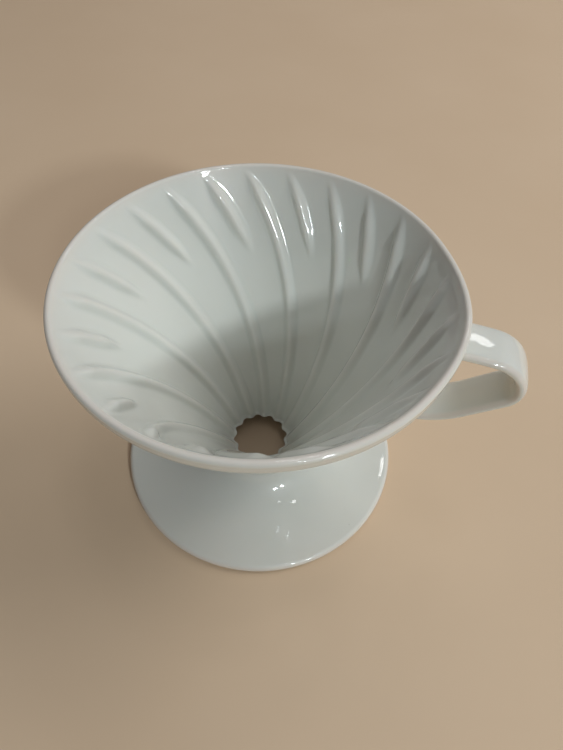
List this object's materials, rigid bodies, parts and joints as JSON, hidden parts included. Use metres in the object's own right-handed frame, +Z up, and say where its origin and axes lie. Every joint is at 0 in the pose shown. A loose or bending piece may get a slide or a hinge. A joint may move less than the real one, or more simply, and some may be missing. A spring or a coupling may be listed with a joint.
{
  "type": "pour over dripper",
  "caption": "White glazed porcelain coffee filter cone with swirling inner ribs and a round outlet, on a flared saucer base with a strap handle.",
  "frame": {"origin": "centre of the bounding box on the surface the base stands on; the cone's own axis is vertical at x = -11.45 mm, y = 0", "axes": "+Z up along the cone's axis towards the rim, +X from the cone towards the handle, +Y across the handle"},
  "size_m": [0.1428, 0.12, 0.0939],
  "materials": {
    "glazed_porcelain": "clear gloss glaze over white porcelain, slightly cool",
    "luting_slip": "the same clay and gloss glaze over the fired slip at each joint"
  },
  "bodies": {
    "root": {"ribbed_cone": "glazed_porcelain", "saucer_base": "glazed_porcelain", "base_slip_joint": "luting_slip", "strap_handle": "glazed_porcelain", "upper_slip_joint": "luting_slip", "lower_slip_joint": "luting_slip"}
  },
  "joints": []
}
